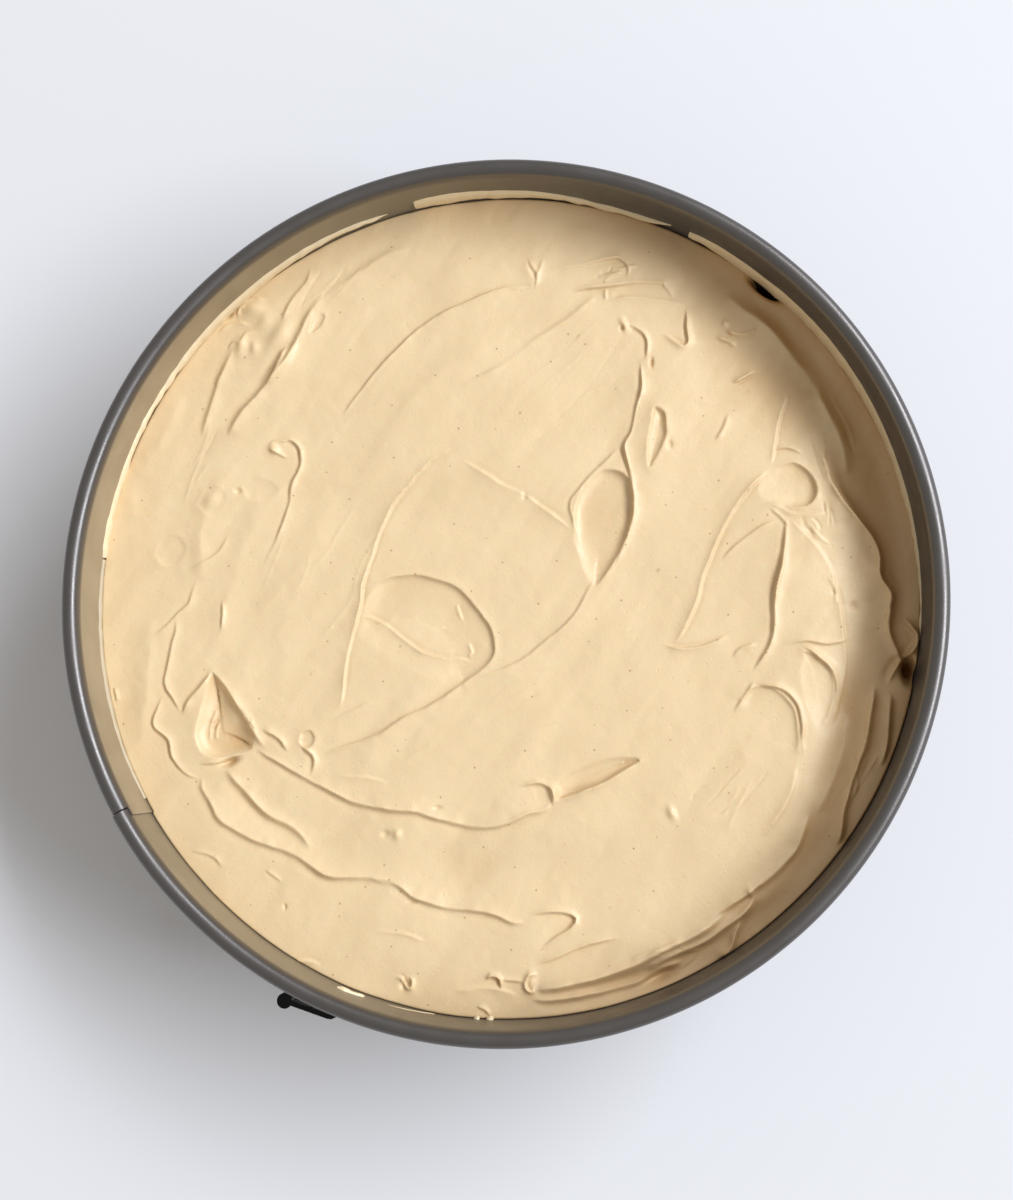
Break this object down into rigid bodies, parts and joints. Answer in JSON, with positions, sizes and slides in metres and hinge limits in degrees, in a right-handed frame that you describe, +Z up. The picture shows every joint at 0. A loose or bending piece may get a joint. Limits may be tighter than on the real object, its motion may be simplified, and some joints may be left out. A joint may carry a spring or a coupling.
{
  "type": "caramel cheesecake in its springform tin",
  "caption": "Round uncut caramel cheesecake with a swirled, spatula-marked top, in its dark springform tin with a hinged side latch.",
  "frame": {"origin": "on the table, under the centre of the tin", "axes": "+Z up; +X to the right and +Y away as the tin is seen from above with its latch at the lower left; the seam of the side is 210 degrees round from +X"},
  "size_m": [0.24, 0.24, 0.068],
  "materials": {
    "side_ring": "dark grey non-stick coating on steel, semi-gloss",
    "base_plate": "dark grey non-stick coating on steel, satin",
    "cheesecake": null,
    "latch_bracket": "plain plated steel",
    "latch_keeper": "plain plated steel",
    "latch_lever": "black enamelled steel, gloss",
    "latch_bail": "plain steel wire"
  },
  "bodies": {
    "tin": {"side_ring": "side_ring", "base_plate": "base_plate", "cheesecake": "cheesecake", "latch_bracket": "latch_bracket", "latch_keeper": "latch_keeper"},
    "lever": {"latch_lever": "latch_lever"},
    "bail": {"latch_bail": "latch_bail"}
  },
  "joints": [
    {"name": "lever_hinge", "type": "hinge", "parent": "tin", "child": "lever", "pos_m": [-0.09094, -0.07906, 0.045], "axis": [0, 0, -1], "range_deg": [0, 100]},
    {"name": "bail_hinge", "type": "hinge", "parent": "lever", "child": "bail", "pos_m": [-0.08573, -0.08425, 0.045], "axis": [0, 0, -1], "range_deg": [-86, 0]}
  ],
  "couplings": [
    {"joint": "bail_hinge", "follows": "lever_hinge", "ratio": -0.86}
  ]
}
